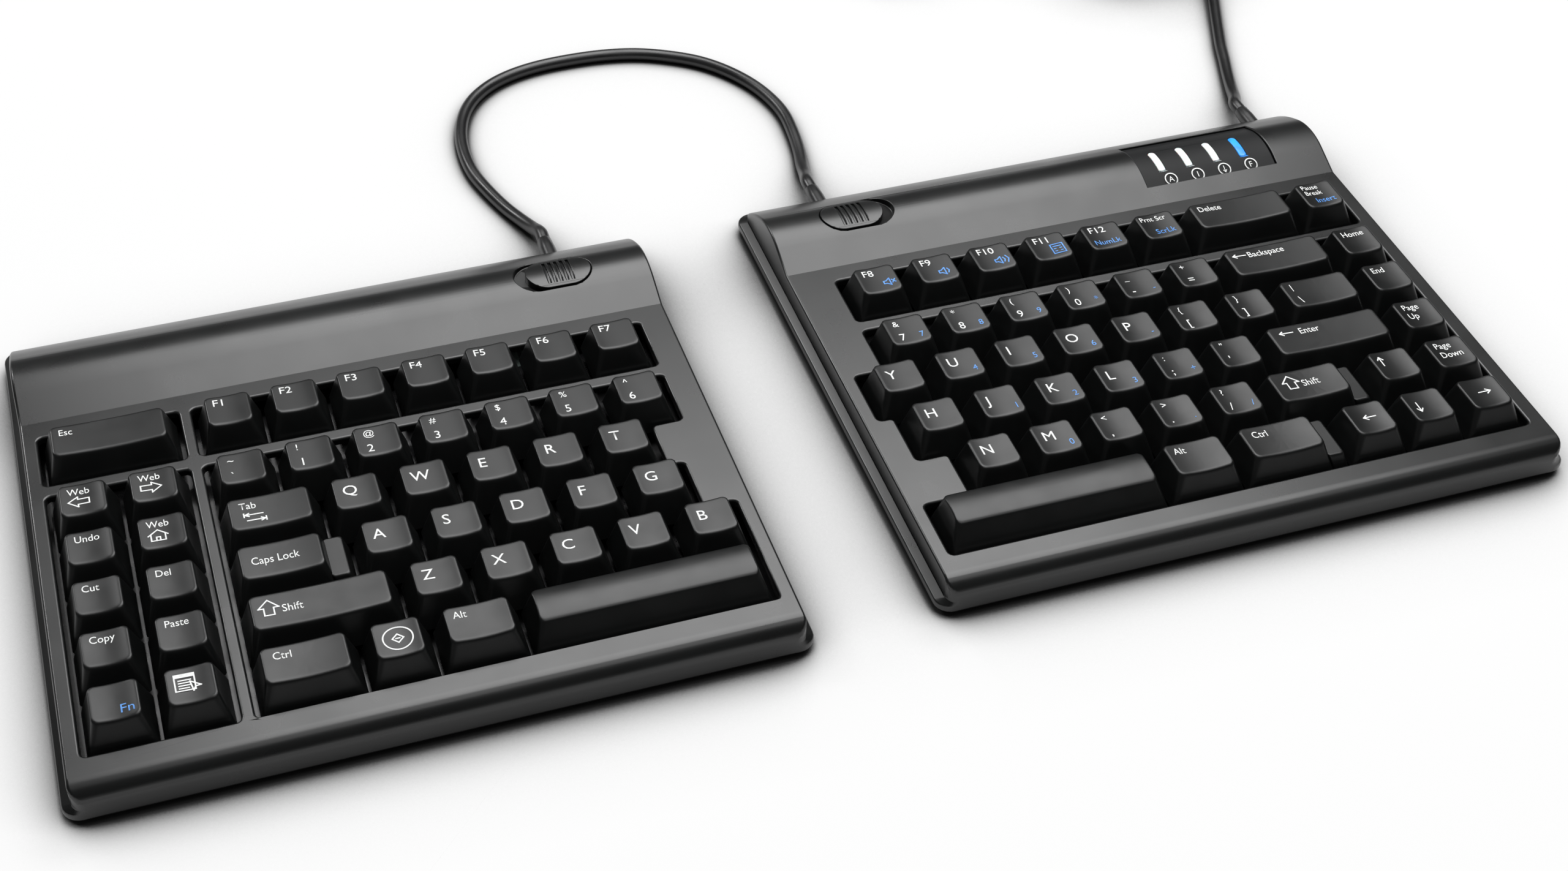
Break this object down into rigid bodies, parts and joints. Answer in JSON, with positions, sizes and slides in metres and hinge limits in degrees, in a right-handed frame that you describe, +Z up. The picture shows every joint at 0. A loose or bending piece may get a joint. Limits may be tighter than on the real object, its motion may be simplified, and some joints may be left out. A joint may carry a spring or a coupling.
{
  "type": "split keyboard",
  "caption": "Split ergonomic keyboard: two flat halves with sunken key wells, a rounded hump with a latch slider at the rear of each, an indicator window and a cable between the halves.",
  "frame": {"origin": "On the desk, midway between the outer sides of the two halves and between the front edge of the left half and the rear edge of the right half", "axes": "+X to the right along the rows of keys, +Y to the rear, +Z up"},
  "size_m": [0.465, 0.3462, 0.0235],
  "materials": {
    "case_plastic": "satin black moulded ABS with a fine grain",
    "key_plastic": "satin black ABS, smoother than the case",
    "frame_plastic": "plain black moulded plastic",
    "dome_rubber": "pale silicone rubber",
    "membrane_film": "clear polyester film with printed tracks",
    "plate_steel": "zinc-coated sheet steel",
    "board_laminate": "green coated glass-fibre laminate",
    "window_plastic": "dark smoked plastic with a satin face",
    "light_plastic": "milky light pipes, one of them lit blue",
    "foot_rubber": "black rubber",
    "screw_steel": "zinc-plated steel",
    "cord_vinyl": "soft black vinyl jacket",
    "plug_steel": "nickel-plated steel",
    "tie_fabric": "black hook-and-loop strap"
  },
  "bodies": {
    "case": {"left_bottom_cover": "case_plastic", "left_top_cover": "case_plastic", "left_key_frame": "frame_plastic", "left_dome_sheet": "dome_rubber", "left_membrane": "membrane_film", "left_base_plate": "plate_steel", "link_board": "board_laminate", "right_bottom_cover": "case_plastic", "right_top_cover": "case_plastic", "right_key_frame": "frame_plastic", "right_dome_sheet": "dome_rubber", "right_membrane": "membrane_film", "right_base_plate": "plate_steel", "controller_board": "board_laminate", "indicator_window": "window_plastic", "indicator_lights": "light_plastic", "rubber_feet": "foot_rubber", "case_screws": "screw_steel", "link_strain_reliefs": "cord_vinyl", "link_cable": "cord_vinyl", "usb_strain_relief": "cord_vinyl", "usb_lead": "cord_vinyl", "usb_coil": "cord_vinyl", "usb_tail": "cord_vinyl", "usb_plug_body": "cord_vinyl", "usb_plug_shell": "plug_steel", "cord_tie": "tie_fabric"},
    "escape": {"escape_key": "key_plastic"},
    "left_function": {"left_function_keys": "key_plastic"},
    "outer_command": {"outer_command_keys": "key_plastic"},
    "inner_command": {"inner_command_keys": "key_plastic"},
    "left_number": {"left_number_keys": "key_plastic"},
    "tab": {"tab_key": "key_plastic"},
    "left_upper_letter": {"left_upper_letter_keys": "key_plastic"},
    "caps_lock": {"caps_lock_key": "key_plastic"},
    "left_home_letter": {"left_home_letter_keys": "key_plastic"},
    "left_shift": {"left_shift_key": "key_plastic"},
    "left_lower_letter": {"left_lower_letter_keys": "key_plastic"},
    "left_control": {"left_control_key": "key_plastic"},
    "system": {"system_key": "key_plastic"},
    "left_alt": {"left_alt_key": "key_plastic"},
    "left_space": {"left_space_bar": "key_plastic"},
    "right_function": {"right_function_keys": "key_plastic"},
    "delete": {"delete_key": "key_plastic"},
    "pause": {"pause_key": "key_plastic"},
    "right_number": {"right_number_keys": "key_plastic"},
    "backspace": {"backspace_key": "key_plastic"},
    "right_upper_letter": {"right_upper_letter_keys": "key_plastic"},
    "backslash": {"backslash_key": "key_plastic"},
    "right_home_letter": {"right_home_letter_keys": "key_plastic"},
    "enter": {"enter_key": "key_plastic"},
    "right_lower_letter": {"right_lower_letter_keys": "key_plastic"},
    "right_shift": {"right_shift_key": "key_plastic"},
    "right_space": {"right_space_bar": "key_plastic"},
    "right_alt": {"right_alt_key": "key_plastic"},
    "right_control": {"right_control_key": "key_plastic"},
    "navigation": {"navigation_keys": "key_plastic"},
    "arrow": {"arrow_keys": "key_plastic"},
    "left_latch": {"left_latch_slider": "case_plastic"},
    "right_latch": {"right_latch_slider": "case_plastic"}
  },
  "joints": [
    {"name": "escape_press", "type": "slide", "parent": "case", "child": "escape", "axis": [0, 0, 1], "range_m": [-0.0038, 0], "stiffness_N_per_m": 160, "springref_m": 0.002, "deforming": ["left_dome_sheet"]},
    {"name": "left_function_press", "type": "slide", "parent": "case", "child": "left_function", "axis": [0, 0, 1], "range_m": [-0.0038, 0], "stiffness_N_per_m": 1120, "springref_m": 0.002, "deforming": ["left_dome_sheet"]},
    {"name": "outer_command_press", "type": "slide", "parent": "case", "child": "outer_command", "axis": [0, 0, 1], "range_m": [-0.0038, 0], "stiffness_N_per_m": 800, "springref_m": 0.002, "deforming": ["left_dome_sheet"]},
    {"name": "inner_command_press", "type": "slide", "parent": "case", "child": "inner_command", "axis": [0, 0, 1], "range_m": [-0.0038, 0], "stiffness_N_per_m": 800, "springref_m": 0.002, "deforming": ["left_dome_sheet"]},
    {"name": "left_number_press", "type": "slide", "parent": "case", "child": "left_number", "axis": [0, 0, 1], "range_m": [-0.0038, 0], "stiffness_N_per_m": 1120, "springref_m": 0.002, "deforming": ["left_dome_sheet"]},
    {"name": "tab_press", "type": "slide", "parent": "case", "child": "tab", "axis": [0, 0, 1], "range_m": [-0.0038, 0], "stiffness_N_per_m": 160, "springref_m": 0.002, "deforming": ["left_dome_sheet"]},
    {"name": "left_upper_letter_press", "type": "slide", "parent": "case", "child": "left_upper_letter", "axis": [0, 0, 1], "range_m": [-0.0038, 0], "stiffness_N_per_m": 800, "springref_m": 0.002, "deforming": ["left_dome_sheet"]},
    {"name": "caps_lock_press", "type": "slide", "parent": "case", "child": "caps_lock", "axis": [0, 0, 1], "range_m": [-0.0038, 0], "stiffness_N_per_m": 160, "springref_m": 0.002, "deforming": ["left_dome_sheet"]},
    {"name": "left_home_letter_press", "type": "slide", "parent": "case", "child": "left_home_letter", "axis": [0, 0, 1], "range_m": [-0.0038, 0], "stiffness_N_per_m": 800, "springref_m": 0.002, "deforming": ["left_dome_sheet"]},
    {"name": "left_shift_press", "type": "slide", "parent": "case", "child": "left_shift", "axis": [0, 0, 1], "range_m": [-0.0038, 0], "stiffness_N_per_m": 160, "springref_m": 0.002, "deforming": ["left_dome_sheet"]},
    {"name": "left_lower_letter_press", "type": "slide", "parent": "case", "child": "left_lower_letter", "axis": [0, 0, 1], "range_m": [-0.0038, 0], "stiffness_N_per_m": 800, "springref_m": 0.002, "deforming": ["left_dome_sheet"]},
    {"name": "left_control_press", "type": "slide", "parent": "case", "child": "left_control", "axis": [0, 0, 1], "range_m": [-0.0038, 0], "stiffness_N_per_m": 160, "springref_m": 0.002, "deforming": ["left_dome_sheet"]},
    {"name": "system_press", "type": "slide", "parent": "case", "child": "system", "axis": [0, 0, 1], "range_m": [-0.0038, 0], "stiffness_N_per_m": 160, "springref_m": 0.002, "deforming": ["left_dome_sheet"]},
    {"name": "left_alt_press", "type": "slide", "parent": "case", "child": "left_alt", "axis": [0, 0, 1], "range_m": [-0.0038, 0], "stiffness_N_per_m": 160, "springref_m": 0.002, "deforming": ["left_dome_sheet"]},
    {"name": "left_space_press", "type": "slide", "parent": "case", "child": "left_space", "axis": [0, 0, 1], "range_m": [-0.0038, 0], "stiffness_N_per_m": 160, "springref_m": 0.002, "deforming": ["left_dome_sheet"]},
    {"name": "right_function_press", "type": "slide", "parent": "case", "child": "right_function", "axis": [0, 0, 1], "range_m": [-0.0038, 0], "stiffness_N_per_m": 960, "springref_m": 0.002, "deforming": ["right_dome_sheet"]},
    {"name": "delete_press", "type": "slide", "parent": "case", "child": "delete", "axis": [0, 0, 1], "range_m": [-0.0038, 0], "stiffness_N_per_m": 160, "springref_m": 0.002, "deforming": ["right_dome_sheet"]},
    {"name": "pause_press", "type": "slide", "parent": "case", "child": "pause", "axis": [0, 0, 1], "range_m": [-0.0038, 0], "stiffness_N_per_m": 160, "springref_m": 0.002, "deforming": ["right_dome_sheet"]},
    {"name": "right_number_press", "type": "slide", "parent": "case", "child": "right_number", "axis": [0, 0, 1], "range_m": [-0.0038, 0], "stiffness_N_per_m": 960, "springref_m": 0.002, "deforming": ["right_dome_sheet"]},
    {"name": "backspace_press", "type": "slide", "parent": "case", "child": "backspace", "axis": [0, 0, 1], "range_m": [-0.0038, 0], "stiffness_N_per_m": 160, "springref_m": 0.002, "deforming": ["right_dome_sheet"]},
    {"name": "right_upper_letter_press", "type": "slide", "parent": "case", "child": "right_upper_letter", "axis": [0, 0, 1], "range_m": [-0.0038, 0], "stiffness_N_per_m": 1120, "springref_m": 0.002, "deforming": ["right_dome_sheet"]},
    {"name": "backslash_press", "type": "slide", "parent": "case", "child": "backslash", "axis": [0, 0, 1], "range_m": [-0.0038, 0], "stiffness_N_per_m": 160, "springref_m": 0.002, "deforming": ["right_dome_sheet"]},
    {"name": "right_home_letter_press", "type": "slide", "parent": "case", "child": "right_home_letter", "axis": [0, 0, 1], "range_m": [-0.0038, 0], "stiffness_N_per_m": 960, "springref_m": 0.002, "deforming": ["right_dome_sheet"]},
    {"name": "enter_press", "type": "slide", "parent": "case", "child": "enter", "axis": [0, 0, 1], "range_m": [-0.0038, 0], "stiffness_N_per_m": 160, "springref_m": 0.002, "deforming": ["right_dome_sheet"]},
    {"name": "right_lower_letter_press", "type": "slide", "parent": "case", "child": "right_lower_letter", "axis": [0, 0, 1], "range_m": [-0.0038, 0], "stiffness_N_per_m": 800, "springref_m": 0.002, "deforming": ["right_dome_sheet"]},
    {"name": "right_shift_press", "type": "slide", "parent": "case", "child": "right_shift", "axis": [0, 0, 1], "range_m": [-0.0038, 0], "stiffness_N_per_m": 160, "springref_m": 0.002, "deforming": ["right_dome_sheet"]},
    {"name": "right_space_press", "type": "slide", "parent": "case", "child": "right_space", "axis": [0, 0, 1], "range_m": [-0.0038, 0], "stiffness_N_per_m": 160, "springref_m": 0.002, "deforming": ["right_dome_sheet"]},
    {"name": "right_alt_press", "type": "slide", "parent": "case", "child": "right_alt", "axis": [0, 0, 1], "range_m": [-0.0038, 0], "stiffness_N_per_m": 160, "springref_m": 0.002, "deforming": ["right_dome_sheet"]},
    {"name": "right_control_press", "type": "slide", "parent": "case", "child": "right_control", "axis": [0, 0, 1], "range_m": [-0.0038, 0], "stiffness_N_per_m": 160, "springref_m": 0.002, "deforming": ["right_dome_sheet"]},
    {"name": "navigation_press", "type": "slide", "parent": "case", "child": "navigation", "axis": [0, 0, 1], "range_m": [-0.0038, 0], "stiffness_N_per_m": 640, "springref_m": 0.002, "deforming": ["right_dome_sheet"]},
    {"name": "arrow_press", "type": "slide", "parent": "case", "child": "arrow", "axis": [0, 0, 1], "range_m": [-0.0038, 0], "stiffness_N_per_m": 640, "springref_m": 0.002, "deforming": ["right_dome_sheet"]},
    {"name": "left_latch_slide", "type": "slide", "parent": "case", "child": "left_latch", "axis": [-1, 0, 0], "range_m": [0, 0.0035]},
    {"name": "right_latch_slide", "type": "slide", "parent": "case", "child": "right_latch", "axis": [1, 0, 0], "range_m": [0, 0.0035]}
  ]
}
